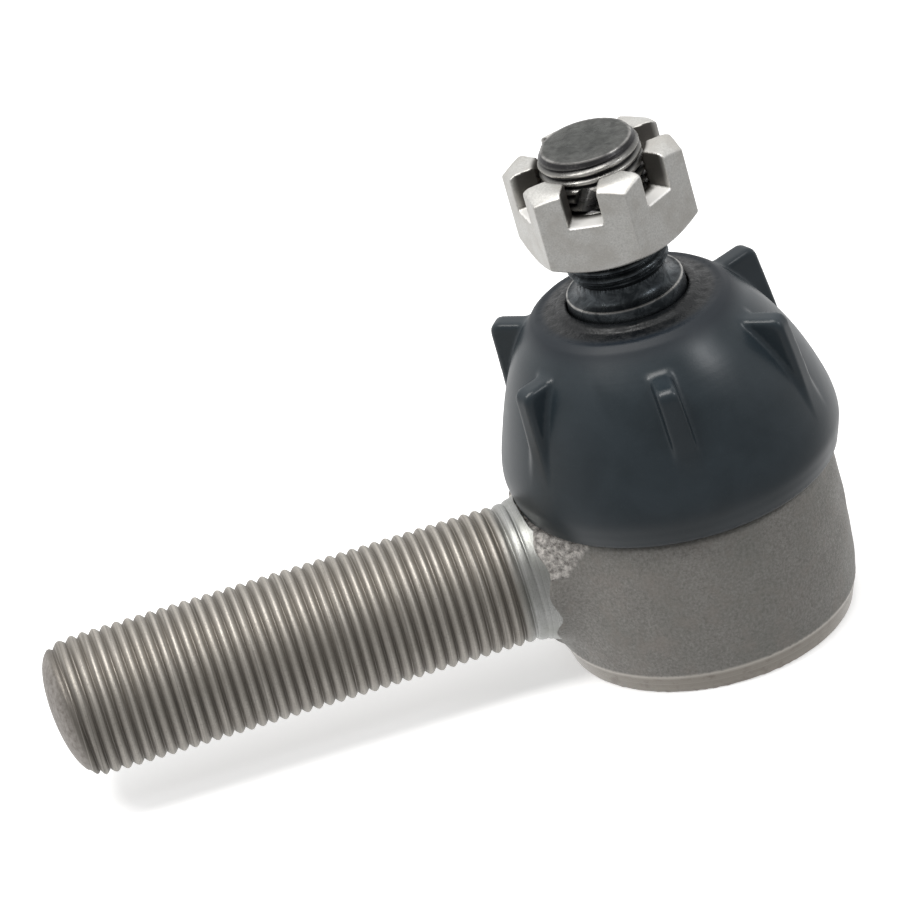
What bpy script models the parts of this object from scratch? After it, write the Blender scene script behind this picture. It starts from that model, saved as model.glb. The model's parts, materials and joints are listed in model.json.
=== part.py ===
"""Heavy tie rod end with a threaded shank, a finned dust boot and a slotted nut.

The frame is in metres with +Z up. Its origin is the centre of the socket's bottom
face, +Z runs up the socket's axis and the threaded shank points along -X. The stud
rocks about the ball centre, and at rest it leans a little towards the shank.
"""

import math

import bmesh
import bpy
from mathutils import Matrix, Vector

MM = 0.001

# Joint centre and rest lean of the stud
BALL_HEIGHT = 18.3 * MM
STUD_LEAN = math.radians(2.2)
GAP = 0.3 * MM

# Socket, a short barrel that narrows to a neck inside the boot
BASE_RADIUS = 22.7 * MM
CHAMFER_HEIGHT = 3.5 * MM
CHAMFER_RADIUS = 23.8 * MM
BARREL_RADIUS = 24.4 * MM
BARREL_HEIGHT = 15.0 * MM
SHOULDER_RADIUS = 24.0 * MM
SHOULDER_HEIGHT = 27.3 * MM
SHOULDER_ROUND = 0.7 * MM
NECK_RADIUS = 21.6 * MM
NECK_HEIGHT = 31.2 * MM
MOUTH_RADIUS = 17.3 * MM
THROAT_RADIUS = 16.4 * MM
CEILING_HEIGHT = 26.0 * MM
BORE_RADIUS = 19.2 * MM

# Swaged bottom: a recess for the closure plate, held by a thin lip
RECESS_RADIUS = 20.3 * MM
RECESS_HEIGHT = 4.1 * MM
LIP_RADIUS = 18.4 * MM
LIP_THICKNESS = 1.0 * MM
PLATE_THICKNESS = 2.5 * MM
SEAL_SECTION = 0.55 * MM

# Threaded shank, 7/8 inch with 14 threads per inch
SHANK_HEIGHT = 17.3 * MM
SHANK_RADIUS = 22.225 / 2 * MM
SHANK_ROOT = 10.25 * MM
SHANK_PITCH = 25.4 / 14 * MM
SHANK_END = 103.5 * MM
SHANK_THREAD_START = 29.3 * MM
SHANK_THREAD_END = 100.0 * MM
BLANK_RADIUS = 10.9 * MM
DOME_LENGTH = 3.75 * MM
DOME_FLAT_RADIUS = 4.0 * MM
COLLAR = [(14.4, 21.0), (12.9, 23.0), (12.1, 24.4), (11.4, 26.3), (10.9, 28.6)]

# Half ball and stud head share one sphere
BALL_RADIUS = 16.8 * MM
SEAT_RADIUS = BALL_RADIUS + GAP
SEAT_OUTSIDE = BORE_RADIUS - GAP
SEAT_FACE = 0.8 * MM
HEAD_DEPTH = 4.5 * MM
HALF_BALL_WALL = 0.9 * MM
WASHER_MARGIN = 1.8 * MM
UPPER_SEAT_TOP = CEILING_HEIGHT - GAP
UPPER_SEAT_EDGE = BALL_HEIGHT + 6.3 * MM
UPPER_SEAT_BOTTOM = BALL_HEIGHT - 0.9 * MM
LOWER_SEAT_TOP = BALL_HEIGHT - 1.7 * MM
LOWER_SEAT_FLOOR = BALL_HEIGHT - 10.1 * MM
LOWER_SEAT_BOTTOM = 6.6 * MM
SPRING_OUTSIDE = 18.2 * MM
SPRING_INSIDE = 8.5 * MM
SPRING_THICKNESS = 1.0 * MM

# Stud: journal, 1:8 taper, then a 5/8 inch thread with 18 threads per inch.
# Heights along the stud are measured from the ball centre.
JOURNAL_RADIUS = 10.9 * MM
TAPER = 1 / 8
TAPER_START = 14.0 * MM
TAPER_END = 42.0 * MM
TAPER_END_RADIUS = JOURNAL_RADIUS - (TAPER_END - TAPER_START) * TAPER / 2
STUD_THREAD_START = 44.6 * MM
STUD_END = 66.7 * MM
STUD_RADIUS = 15.875 / 2 * MM
STUD_ROOT = 7.1 * MM
STUD_PITCH = 25.4 / 18 * MM
STUD_TIP_CHAMFER = 1.2 * MM
UNDERCUT_RADIUS = 6.9 * MM
PIN_HOLE_RADIUS = 2.0 * MM
PIN_HOLE_HEIGHT = 60.6 * MM

# Slotted nut, one corner turned this far from +X
NUT_ACROSS_FLATS = 24.4 * MM
NUT_BOTTOM = 50.6 * MM
NUT_HEIGHT = 13.7 * MM
NUT_TURN = math.radians(-23.2)
NUT_CHAMFER = math.radians(30)
NUT_FLAT_CIRCLE = 0.955
SLOT_WIDTH = 5.5 * MM
SLOT_DEPTH = 5.8 * MM
SLOT_COUNT = 6
SIXTH_TURN = math.radians(60)

# Dust boot
BOOT_BOTTOM = 27.7 * MM
BOOT_TOP = 58.5 * MM
BOOT_HOLE_RADIUS = 10.0 * MM
BOOT_DOME = [(25.5, 28.5), (26.4, 32.6), (25.6, 37.0), (23.1, 44.5), (19.8, 51.0), (16.0, 56.4)]
BOOT_INSIDE = [(12.4, 53.6), (17.4, 49.2), (20.4, 43.6), (22.6, 36.4)]
LAND_RADIUS = 15.0 * MM
RIM_INSIDE = 23.2 * MM
RIM_HEIGHT = 31.5 * MM
BEAD_RADIUS = 22.0 * MM
BEAD_HEIGHT = 33.2 * MM
BOOT_ROOM_RADIUS = 27.0 * MM
BASE_RING_INSIDE = NECK_RADIUS + GAP
BASE_RING_OUTSIDE = RIM_INSIDE - GAP
BASE_RING_TOP = RIM_HEIGHT - GAP
FIN_COUNT = 6
FIN_TURN = math.radians(-94)
FIN_RADIUS = 24.0 * MM
FIN_INSIDE = 16.5 * MM
FIN_TOP = 54.5 * MM
FIN_BOTTOM = 35.0 * MM
FIN_FOOT_RADIUS = 25.4 * MM
FIN_TOP_WIDTH = 3.4 * MM
FIN_FOOT_WIDTH = 4.2 * MM
LEAN_START = 34.0 * MM
LEAN_FULL = 58.0 * MM

# Facets around the round pieces
FINE = 48
MEDIUM = 36
THREAD_FACETS = 20
HOLE_FACETS = 16
SEAL_FACETS = 8
ARC_STEP = math.radians(9)
DOME_STEPS = 5
SHARP_ANGLE = math.radians(30)


def clear_scene():
    """Remove the objects that a new file starts with."""
    for item in list(bpy.data.objects):
        bpy.data.objects.remove(item, do_unlink=True)


def make_material(name, color, metallic, roughness):
    """Return a Principled material."""
    material = bpy.data.materials.new(name)
    material.use_nodes = True
    shader = material.node_tree.nodes["Principled BSDF"]
    shader.inputs["Base Color"].default_value = (*color, 1.0)
    shader.inputs["Metallic"].default_value = metallic
    shader.inputs["Roughness"].default_value = roughness
    return material


def add_object(name, bm, material=None, parent=None):
    """Turn a bmesh into an object, with smooth shading and sharp edges kept."""
    bmesh.ops.remove_doubles(bm, verts=bm.verts, dist=1e-7)
    bmesh.ops.recalc_face_normals(bm, faces=bm.faces)
    mesh = bpy.data.meshes.new(name)
    bm.to_mesh(mesh)
    bm.free()
    mesh.shade_smooth()
    mesh.set_sharp_from_angle(angle=SHARP_ANGLE)
    item = bpy.data.objects.new(name, mesh)
    bpy.context.collection.objects.link(item)
    item.parent = parent
    if material:
        mesh.materials.append(material)
    return item


def add_guide(name, bm, parent=None):
    """Add a tool body that only serves a Boolean."""
    item = add_object(name, bm, parent=parent)
    item.hide_render = True
    item.display_type = "WIRE"
    return item


def combine(item, operation, tool):
    """Add a Boolean modifier."""
    modifier = item.modifiers.new(tool.name, "BOOLEAN")
    modifier.operation = operation
    modifier.solver = "EXACT"
    modifier.object = tool


def add_empty(name, location, rotation=(0.0, 0.0, 0.0)):
    """Add an empty that carries a joint's pieces."""
    item = bpy.data.objects.new(name, None)
    item.location = location
    item.rotation_euler = rotation
    bpy.context.collection.objects.link(item)
    return item


def arc(radius, centre_height, low, high):
    """Points of a circle about the axis, between two heights, as (radius, height)."""
    start = math.asin((low - centre_height) / radius)
    end = math.asin((high - centre_height) / radius)
    steps = max(2, round(abs(end - start) / ARC_STEP))
    angles = [start + (end - start) * i / steps for i in range(steps + 1)]
    return [(radius * math.cos(a), centre_height + radius * math.sin(a)) for a in angles]


def smooth_line(points, steps):
    """Points along a Catmull-Rom curve through a few (radius, height) points in mm."""
    knots = [Vector(p) * MM for p in points]
    knots = [2 * knots[0] - knots[1]] + knots + [2 * knots[-1] - knots[-2]]
    line = []
    for a, b, c, d in zip(knots, knots[1:], knots[2:], knots[3:]):
        for i in range(steps):
            t = i / steps
            point = b + 0.5 * t * (c - a + t * (2 * a - 5 * b + 4 * c - d + t * (3 * (b - c) + d - a)))
            line.append(tuple(point))
    line.append(tuple(knots[-2]))
    return line


def turned(outline, facets, closed=True):
    """Spin a (radius, height) outline about Z. An open outline starts and ends on the axis."""
    bm = bmesh.new()
    verts = [bm.verts.new((r, 0.0, z)) for r, z in outline]
    edges = [bm.edges.new(pair) for pair in zip(verts, verts[1:])]
    if closed:
        edges.append(bm.edges.new((verts[-1], verts[0])))
    bmesh.ops.spin(
        bm, geom=verts + edges, angle=math.tau, steps=facets, axis=(0, 0, 1), cent=(0, 0, 0), use_merge=True
    )
    bmesh.ops.remove_doubles(bm, verts=bm.verts, dist=1e-7)
    bmesh.ops.recalc_face_normals(bm, faces=bm.faces)
    return bm


def thread_radius(height, turn, pitch, crest, root, limit):
    """Radius of a V thread at a height, for a fraction of a turn round the axis."""
    phase = (height / pitch - turn) % 1.0
    return min(root + (crest - root) * (1 - abs(2 * phase - 1)), limit(height))


def threaded_rod(length, pitch, crest, root, limit):
    """A right-hand helical thread along +Z with flat ends. limit(height) caps its radius."""
    bm = bmesh.new()
    rows = 2 * math.ceil(length / pitch) + 4
    grid = []
    placed = {}
    for column in range(THREAD_FACETS + 1):
        turn = column / THREAD_FACETS
        angle = math.tau * turn
        line = []
        for row in range(-2, rows):
            height = min(max((row / 2 + turn) * pitch, 0.0), length)
            radius = thread_radius(height, turn, pitch, crest, root, limit)
            place = (radius * math.cos(angle), radius * math.sin(angle), height)
            key = tuple(round(value * 1e7) for value in place)
            if key not in placed:
                placed[key] = bm.verts.new(place)
            line.append(placed[key])
        grid.append(line)
    for left, right in zip(grid, grid[1:]):
        for i in range(len(left) - 1):
            corners = list(dict.fromkeys([left[i], right[i], right[i + 1], left[i + 1]]))
            if len(corners) > 2 and bm.faces.get(corners) is None:
                bm.faces.new(corners)
    rims = [edge for edge in bm.edges if edge.is_boundary]
    bmesh.ops.holes_fill(bm, edges=rims, sides=0)
    bmesh.ops.recalc_face_normals(bm, faces=bm.faces)
    return bm


def cylinder(radius, low, high, facets=MEDIUM):
    """A plain cylinder about Z."""
    return turned([(0.0, low), (radius, low), (radius, high), (0.0, high)], facets, closed=False)


def make_socket(steel):
    """Forged housing: barrel, neck, threaded shank, and the bored cavity."""
    outside = [
        (0.0, 0.0),
        (BASE_RADIUS, 0.0),
        (CHAMFER_RADIUS, CHAMFER_HEIGHT),
        (BARREL_RADIUS, BARREL_HEIGHT),
        (SHOULDER_RADIUS, SHOULDER_HEIGHT - SHOULDER_ROUND),
        (SHOULDER_RADIUS - SHOULDER_ROUND, SHOULDER_HEIGHT),
        (NECK_RADIUS, SHOULDER_HEIGHT),
        (NECK_RADIUS, NECK_HEIGHT),
        (0.0, NECK_HEIGHT),
    ]
    socket = add_object("socket_housing", turned(outside, FINE, closed=False), steel)

    shank_axis = Matrix.Translation((0, 0, SHANK_HEIGHT)) @ Matrix.Rotation(math.radians(-90), 4, "Y")
    length = SHANK_THREAD_END - SHANK_THREAD_START

    def shank_limit(height):
        """First and last turns that run out into the collar and the domed tip."""
        return BLANK_RADIUS - GAP + min(height, length - height) / 2

    thread = threaded_rod(length, SHANK_PITCH, SHANK_RADIUS, SHANK_ROOT, shank_limit)
    thread.transform(shank_axis @ Matrix.Translation((0, 0, SHANK_THREAD_START)))
    combine(socket, "UNION", add_guide("shank_thread_guide", thread))

    stem_outline = [(0.0, COLLAR[0][1] * MM)] + smooth_line(COLLAR, 1)
    stem_outline += [(BLANK_RADIUS, SHANK_THREAD_START + GAP), (0.0, SHANK_THREAD_START + GAP)]
    stem = turned(stem_outline, MEDIUM, closed=False)
    stem.transform(shank_axis)
    combine(socket, "UNION", add_guide("shank_stem_guide", stem))

    steepest = math.acos(DOME_FLAT_RADIUS / BLANK_RADIUS)
    dome_start = SHANK_END - DOME_LENGTH * math.sin(steepest)
    dome_outline = [(0.0, SHANK_THREAD_END - GAP), (BLANK_RADIUS, SHANK_THREAD_END - GAP)]
    for step in range(DOME_STEPS + 1):
        angle = steepest * step / DOME_STEPS
        dome_outline.append((BLANK_RADIUS * math.cos(angle), dome_start + DOME_LENGTH * math.sin(angle)))
    dome_outline.append((0.0, SHANK_END))
    tip = turned(dome_outline, MEDIUM, closed=False)
    tip.transform(shank_axis)
    combine(socket, "UNION", add_guide("shank_tip_guide", tip))

    cavity = [
        (0.0, -MM),
        (LIP_RADIUS, -MM),
        (LIP_RADIUS, LIP_THICKNESS),
        (RECESS_RADIUS, LIP_THICKNESS),
        (RECESS_RADIUS, RECESS_HEIGHT),
        (BORE_RADIUS, RECESS_HEIGHT),
        (BORE_RADIUS, CEILING_HEIGHT),
        (THROAT_RADIUS, CEILING_HEIGHT),
        (MOUTH_RADIUS, NECK_HEIGHT),
        (MOUTH_RADIUS, NECK_HEIGHT + MM),
        (0.0, NECK_HEIGHT + MM),
    ]
    combine(socket, "DIFFERENCE", add_guide("cavity_guide", turned(cavity, FINE, closed=False)))

    boot_room = [
        (NECK_RADIUS, SHOULDER_HEIGHT),
        (BOOT_ROOM_RADIUS, SHOULDER_HEIGHT),
        (BOOT_ROOM_RADIUS, NECK_HEIGHT + MM),
        (NECK_RADIUS, NECK_HEIGHT + MM),
    ]
    combine(socket, "DIFFERENCE", add_guide("boot_room_guide", turned(boot_room, FINE)))
    return socket


def make_closure(steel, rubber, spring_steel):
    """Stepped plate that closes the bottom, its seal ring and the disc spring above it."""
    rim = RECESS_RADIUS - GAP
    centre = LIP_RADIUS - GAP
    flange_low = LIP_THICKNESS + GAP
    flange_high = flange_low + PLATE_THICKNESS
    notch = 2 * SEAL_SECTION + GAP
    plate = [
        (0.0, 0.0),
        (centre, 0.0),
        (centre, flange_low),
        (rim, flange_low),
        (rim, flange_high - notch),
        (rim - notch, flange_high - notch),
        (rim - notch, flange_high),
        (0.0, flange_high),
    ]
    add_object("closure_plate", turned(plate, FINE, closed=False), steel)

    seal_middle = Vector((rim - SEAL_SECTION, flange_high - SEAL_SECTION))
    corners = [math.tau * i / SEAL_FACETS for i in range(SEAL_FACETS)]
    seal = []
    for angle in corners:
        reach, rise = SEAL_SECTION * math.cos(angle), SEAL_SECTION * math.sin(angle)
        seal.append((seal_middle.x + reach, seal_middle.y + rise))
    add_object("plate_seal_ring", turned(seal, MEDIUM), rubber)

    low = flange_high + GAP
    high = LOWER_SEAT_BOTTOM - GAP
    spring = [
        (SPRING_OUTSIDE, low),
        (SPRING_OUTSIDE, low + SPRING_THICKNESS),
        (SPRING_INSIDE, high),
        (SPRING_INSIDE, high - SPRING_THICKNESS),
    ]
    add_object("disc_spring", turned(spring, MEDIUM), spring_steel)


def make_seats(bearing_steel):
    """Upper seat and spring-loaded lower seat, which hold the half ball and the stud's head."""
    upper = [(SEAT_OUTSIDE, UPPER_SEAT_BOTTOM), (SEAT_OUTSIDE, UPPER_SEAT_TOP)]
    ball_part = arc(SEAT_RADIUS, BALL_HEIGHT, UPPER_SEAT_BOTTOM, UPPER_SEAT_EDGE)
    upper += [(ball_part[-1][0] + GAP, UPPER_SEAT_TOP)] + ball_part[::-1]
    add_object("upper_bearing", turned(upper, FINE), bearing_steel)

    bowl = arc(SEAT_RADIUS, BALL_HEIGHT, LOWER_SEAT_FLOOR, LOWER_SEAT_TOP)
    lower = [(0.0, LOWER_SEAT_FLOOR)] + bowl
    lower += [(SEAT_OUTSIDE, LOWER_SEAT_TOP), (SEAT_OUTSIDE, LOWER_SEAT_BOTTOM), (0.0, LOWER_SEAT_BOTTOM)]
    add_object("lower_bearing", turned(lower, FINE, closed=False), bearing_steel)


def make_half_ball(bearing_steel, bronze, stud_axis):
    """Half ball that rocks with the stud, and the thrust washer between it and the head."""
    inside = JOURNAL_RADIUS + GAP
    top = math.sqrt(BALL_RADIUS**2 - (inside + HALF_BALL_WALL) ** 2)
    outline = arc(BALL_RADIUS, 0.0, SEAT_FACE, top) + [(inside, top), (inside, SEAT_FACE)]
    add_object("half_ball_bearing", turned(outline, FINE), bearing_steel, stud_axis)

    half = SEAT_FACE - GAP
    outside = BALL_RADIUS - WASHER_MARGIN
    washer = [(inside, -half), (outside, -half), (outside, half), (inside, half)]
    add_object("thrust_washer", turned(washer, MEDIUM), bronze, stud_axis)


def make_stud(steel, stud_axis):
    """Ball stud: head, journal, taper and thread, with the cross hole for a split pin."""
    outline = [(0.0, -HEAD_DEPTH)] + arc(BALL_RADIUS, 0.0, -HEAD_DEPTH, -SEAT_FACE)
    outline += [
        (JOURNAL_RADIUS, -SEAT_FACE),
        (JOURNAL_RADIUS, TAPER_START),
        (TAPER_END_RADIUS, TAPER_END),
        (UNDERCUT_RADIUS, STUD_THREAD_START - GAP),
        (UNDERCUT_RADIUS, STUD_THREAD_START + 2 * GAP),
        (0.0, STUD_THREAD_START + 2 * GAP),
    ]
    stud = add_object("ball_stud", turned(outline, MEDIUM, closed=False), steel, stud_axis)

    length = STUD_END - STUD_THREAD_START

    def stud_limit(height):
        """Chamfers at both ends of the thread."""
        return STUD_ROOT + min(height, length - height) * (STUD_RADIUS - STUD_ROOT) / STUD_TIP_CHAMFER

    thread = threaded_rod(length, STUD_PITCH, STUD_RADIUS, STUD_ROOT, stud_limit)
    thread.transform(Matrix.Translation((0, 0, STUD_THREAD_START)))
    combine(stud, "UNION", add_guide("stud_thread_guide", thread, stud_axis))

    hole = cylinder(PIN_HOLE_RADIUS, -2 * STUD_RADIUS, 2 * STUD_RADIUS, facets=HOLE_FACETS)
    direction = NUT_TURN + math.radians(-90)
    turn = Matrix.Rotation(direction, 4, "Z") @ Matrix.Rotation(math.radians(90), 4, "Y")
    hole.transform(Matrix.Translation((0, 0, PIN_HOLE_HEIGHT)) @ turn)
    combine(stud, "DIFFERENCE", add_guide("pin_hole_guide", hole, stud_axis))


def make_nut(plated_steel, stud_axis):
    """Slotted hexagon nut with chamfered corners and six slots on its flats."""
    corner = NUT_ACROSS_FLATS / 2 / math.cos(SIXTH_TURN / 2)
    top = NUT_BOTTOM + NUT_HEIGHT
    bm = cylinder(corner, NUT_BOTTOM, top, facets=6)
    bm.transform(Matrix.Rotation(NUT_TURN, 4, "Z"))
    nut = add_object("slotted_nut", bm, plated_steel, stud_axis)

    flat_circle = NUT_FLAT_CIRCLE * NUT_ACROSS_FLATS / 2
    reach = corner + MM
    drop = (reach - flat_circle) * math.tan(NUT_CHAMFER)
    rounding = [
        (0.0, NUT_BOTTOM - MM),
        (flat_circle - MM, NUT_BOTTOM - MM),
        (flat_circle, NUT_BOTTOM),
        (reach, NUT_BOTTOM + drop),
        (reach, top - drop),
        (flat_circle, top),
        (flat_circle - MM, top + MM),
        (0.0, top + MM),
    ]
    combine(nut, "INTERSECT", add_guide("nut_chamfer_guide", turned(rounding, FINE, closed=False), stud_axis))

    bore = cylinder(STUD_RADIUS + GAP, NUT_BOTTOM - MM, top + MM)
    combine(nut, "DIFFERENCE", add_guide("nut_bore_guide", bore, stud_axis))

    for index in range(SLOT_COUNT // 2):
        slot = bmesh.new()
        bmesh.ops.create_cube(slot, size=1.0)
        size = Matrix.Diagonal((4 * corner, SLOT_WIDTH, 2 * SLOT_DEPTH, 1.0))
        turn = Matrix.Rotation(NUT_TURN + (index + 0.5) * SIXTH_TURN, 4, "Z")
        slot.transform(Matrix.Translation((0, 0, top)) @ turn @ size)
        combine(nut, "DIFFERENCE", add_guide(f"slot_guide_{index + 1}", slot, stud_axis))


def lean(bm):
    """Shift the upper part of a boot shape sideways, so that its mouth follows the stud."""
    for vert in bm.verts:
        rise = (vert.co.z - LEAN_START) / (LEAN_FULL - LEAN_START)
        share = min(max(rise, 0.0), 1.0)
        share = share * share * (3 - 2 * share)
        vert.co.x -= math.tan(STUD_LEAN) * (vert.co.z - BALL_HEIGHT) * share


def make_boot(rubber, steel):
    """Finned dome of rubber from the socket's neck up to the stud, and its steel base ring."""
    outside = [(RIM_INSIDE, BOOT_BOTTOM), (BOOT_DOME[0][0] * MM - 2 * GAP, BOOT_BOTTOM)]
    outside += smooth_line(BOOT_DOME, 3)
    top = [
        (LAND_RADIUS, BOOT_TOP - 3 * GAP),
        (BOOT_HOLE_RADIUS + GAP, BOOT_TOP),
        (BOOT_HOLE_RADIUS, BOOT_TOP - GAP),
        (BOOT_HOLE_RADIUS, BOOT_INSIDE[0][1] * MM + 3 * GAP),
    ]
    inside = smooth_line(BOOT_INSIDE, 2)
    base = [(BEAD_RADIUS, BEAD_HEIGHT), (BEAD_RADIUS, RIM_HEIGHT), (RIM_INSIDE, RIM_HEIGHT)]
    shell = turned(outside + top + inside + base, FINE)
    lean(shell)
    boot = add_object("dust_boot", shell, rubber)

    for index in range(FIN_COUNT):
        fin = bmesh.new()
        levels = [
            (FIN_BOTTOM, FIN_FOOT_RADIUS, FIN_FOOT_WIDTH),
            (FIN_TOP, FIN_RADIUS, FIN_TOP_WIDTH),
        ]
        rings = []
        for height, reach, width in levels:
            inner = FIN_INSIDE if height == FIN_TOP else RIM_INSIDE
            corners = [(inner, -width / 2), (reach, -width / 2), (reach, width / 2), (inner, width / 2)]
            rings.append([fin.verts.new((x, y, height)) for x, y in corners])
        for i in range(4):
            j = (i + 1) % 4
            fin.faces.new((rings[0][i], rings[0][j], rings[1][j], rings[1][i]))
        fin.faces.new(rings[0][::-1])
        fin.faces.new(rings[1])
        fin.transform(Matrix.Rotation(FIN_TURN + math.tau * index / FIN_COUNT, 4, "Z"))
        lean(fin)
        combine(boot, "UNION", add_guide(f"fin_guide_{index + 1}", fin))

    ring = [
        (BASE_RING_INSIDE, BOOT_BOTTOM),
        (BASE_RING_OUTSIDE, BOOT_BOTTOM),
        (BASE_RING_OUTSIDE, BASE_RING_TOP),
        (BASE_RING_INSIDE, BASE_RING_TOP),
    ]
    add_object("boot_base_ring", turned(ring, FINE), steel)


def main():
    """Build every piece."""
    clear_scene()
    forged = make_material("forged_steel", (0.185, 0.172, 0.155), 0.85, 0.5)
    plate = make_material("plate_steel", (0.33, 0.31, 0.28), 0.9, 0.4)
    bearing = make_material("bearing_steel", (0.30, 0.29, 0.28), 0.9, 0.3)
    spring = make_material("spring_steel", (0.12, 0.12, 0.13), 0.9, 0.35)
    bronze = make_material("bronze", (0.45, 0.30, 0.14), 0.9, 0.35)
    stud_steel = make_material("stud_steel", (0.11, 0.11, 0.10), 0.9, 0.35)
    nut_steel = make_material("nut_steel", (0.42, 0.42, 0.39), 0.9, 0.35)
    rubber = make_material("boot_rubber", (0.035, 0.045, 0.052), 0.0, 0.45)
    seal = make_material("seal_rubber", (0.02, 0.02, 0.02), 0.0, 0.6)

    stud_axis = add_empty("stud_axis", (0, 0, BALL_HEIGHT), (0, -STUD_LEAN, 0))
    make_socket(forged)
    make_closure(plate, seal, spring)
    make_seats(bearing)
    make_half_ball(bearing, bronze, stud_axis)
    make_stud(stud_steel, stud_axis)
    make_nut(nut_steel, stud_axis)
    make_boot(rubber, plate)
    bpy.context.view_layer.update()


main()
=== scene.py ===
"""Looks of the tie rod end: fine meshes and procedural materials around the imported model.

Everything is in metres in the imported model's frame: +Z up the socket's axis, the origin
on the socket's bottom face and the threaded shank along -X.
"""

import json
import math

import bpy
import numpy as np
from mathutils import Matrix, Vector


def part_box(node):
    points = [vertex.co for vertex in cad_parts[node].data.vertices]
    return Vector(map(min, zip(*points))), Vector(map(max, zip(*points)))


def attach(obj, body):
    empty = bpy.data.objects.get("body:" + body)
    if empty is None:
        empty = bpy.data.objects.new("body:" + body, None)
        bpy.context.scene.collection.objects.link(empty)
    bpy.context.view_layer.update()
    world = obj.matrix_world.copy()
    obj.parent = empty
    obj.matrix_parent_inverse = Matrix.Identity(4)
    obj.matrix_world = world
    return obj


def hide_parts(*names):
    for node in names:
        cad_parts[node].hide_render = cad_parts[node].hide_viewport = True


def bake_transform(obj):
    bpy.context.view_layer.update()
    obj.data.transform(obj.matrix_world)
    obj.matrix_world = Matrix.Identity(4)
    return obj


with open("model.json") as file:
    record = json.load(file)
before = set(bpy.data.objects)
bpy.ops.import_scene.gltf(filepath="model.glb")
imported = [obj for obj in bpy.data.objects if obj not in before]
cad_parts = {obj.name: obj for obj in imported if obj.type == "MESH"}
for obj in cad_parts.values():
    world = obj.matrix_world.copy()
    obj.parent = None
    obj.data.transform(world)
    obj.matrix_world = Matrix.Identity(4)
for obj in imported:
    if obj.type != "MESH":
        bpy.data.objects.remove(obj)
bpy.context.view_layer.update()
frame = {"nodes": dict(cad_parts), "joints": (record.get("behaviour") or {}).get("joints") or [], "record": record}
MM = 0.001

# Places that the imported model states
JOINTS = {joint["name"]: joint for joint in frame["joints"]}
BALL = Vector(JOINTS["stud_tilt"]["pos_m"])
STUD_AXIS = Vector(JOINTS["stud_spin"]["axis"]).normalized()
STUD_LEAN = math.atan2(-STUD_AXIS.x, STUD_AXIS.z)
MOUNTS = {mount["name"]: mount for mount in frame["record"]["mounts"]}
SHANK_TIP = Vector(MOUNTS["shank_end"]["pos_m"])
STUD_TIP = (Vector(MOUNTS["stud_end"]["pos_m"]) - BALL).length

# Socket outline, as (radius, height)
BASE_RADIUS = 22.7 * MM
BAND_HEIGHT = 3.5 * MM
BAND_RADIUS = 23.75 * MM
BARREL_RADIUS = 24.4 * MM
BARREL_HEIGHT = 15.0 * MM
SHOULDER_RADIUS = 24.0 * MM
SHOULDER_HEIGHT = 27.3 * MM
NECK_RADIUS = 21.6 * MM
NECK_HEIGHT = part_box("socket_housing")[1].z
MOUTH_RADIUS = 17.3 * MM
THROAT_RADIUS = 16.4 * MM
CEILING_HEIGHT = 26.0 * MM
BORE_RADIUS = 19.2 * MM
RECESS_RADIUS = 20.3 * MM
RECESS_HEIGHT = 4.1 * MM
LIP_RADIUS = 18.4 * MM
LIP_THICKNESS = 1.0 * MM

# Fillet that holds the shank, and the wavy border where turning stopped
FILLET_SIZE, FILLET_SWELL = 4.5, 1.5  # mm, at the side and the gain towards the top
BORDER = 25.4 * MM
BORDER_WAVE = 0.45 * MM
BORDER_WAVES = 9
BORDER_SLANT = 0.2 * MM
STEM_RADIUS = 12.0 * MM
STEM_END = 26.5 * MM
ROOM_RADIUS = 27.0 * MM  # the forging is cut level under the boot's rim, out to here
WAVE_DEPTH = 0.10 * MM

# Coarse patch in the fillet, between a lower line and a side line
PATCH_LOWER_SLOPE = 0.287
PATCH_SIDE_X = -22.5 * MM
PATCH_SIDE_Z = 20.2 * MM
PATCH_SIDE_SLOPE = 1.57
PATCH_SIDE_LENGTH = 1.9
PATCH_SOFTNESS = 2.4 * MM

# Shank, with distances from the socket's axis
SHANK_RADIUS = 22.225 / 2 * MM
SHANK_ROOT = 10.36 * MM
SHANK_PITCH = 25.4 / 14 * MM
BLANK_RADIUS = 10.95 * MM
BAR_START = 20.0 * MM
SHANK_NOTCH_RADIUS = 25.8 * MM  # the collar's top is cut level under the boot's rim, out to here
THREAD_START = 31.0 * MM
RUN_OUT = 4.8 * MM
SCRATCH_DEPTH = 0.14 * MM
DOME_LENGTH = 8.5 * MM
DOME_POWER = 4.7
DOME_FLAT_RADIUS = 1.5 * MM
TIP_TILT = 0.076
# Turned collar, as (radius, distance) in mm
COLLAR = [(11.0, 20.0), (12.1, 24.4), (11.5, 25.8), (11.25, 27.0), (10.95, 28.8), (10.95, 31.0)]

# Stud, heights along its axis from the ball centre
BALL_RADIUS = 16.8 * MM
HEAD_DEPTH = 4.5 * MM
SEAT_FACE = 0.8 * MM
JOURNAL_RADIUS = 10.9 * MM
TAPER_START = 14.0 * MM
TAPER_END = 42.0 * MM
TAPER_END_RADIUS = 9.15 * MM
STUD_THREAD_START = 44.6 * MM
STUD_RADIUS = 15.875 / 2 * MM
STUD_ROOT = 7.15 * MM
STUD_TIP_RADIUS = 6.95 * MM
STUD_PHASE = 0.81
STUD_PITCH = 25.4 / 18 * MM
UNDERCUT_RADIUS = 6.9 * MM
PIN_HOLE_RADIUS = 2.0 * MM
PIN_HOLE_HEIGHT = 60.6 * MM
PIN_HOLE_REACH = 12 * MM

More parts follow.
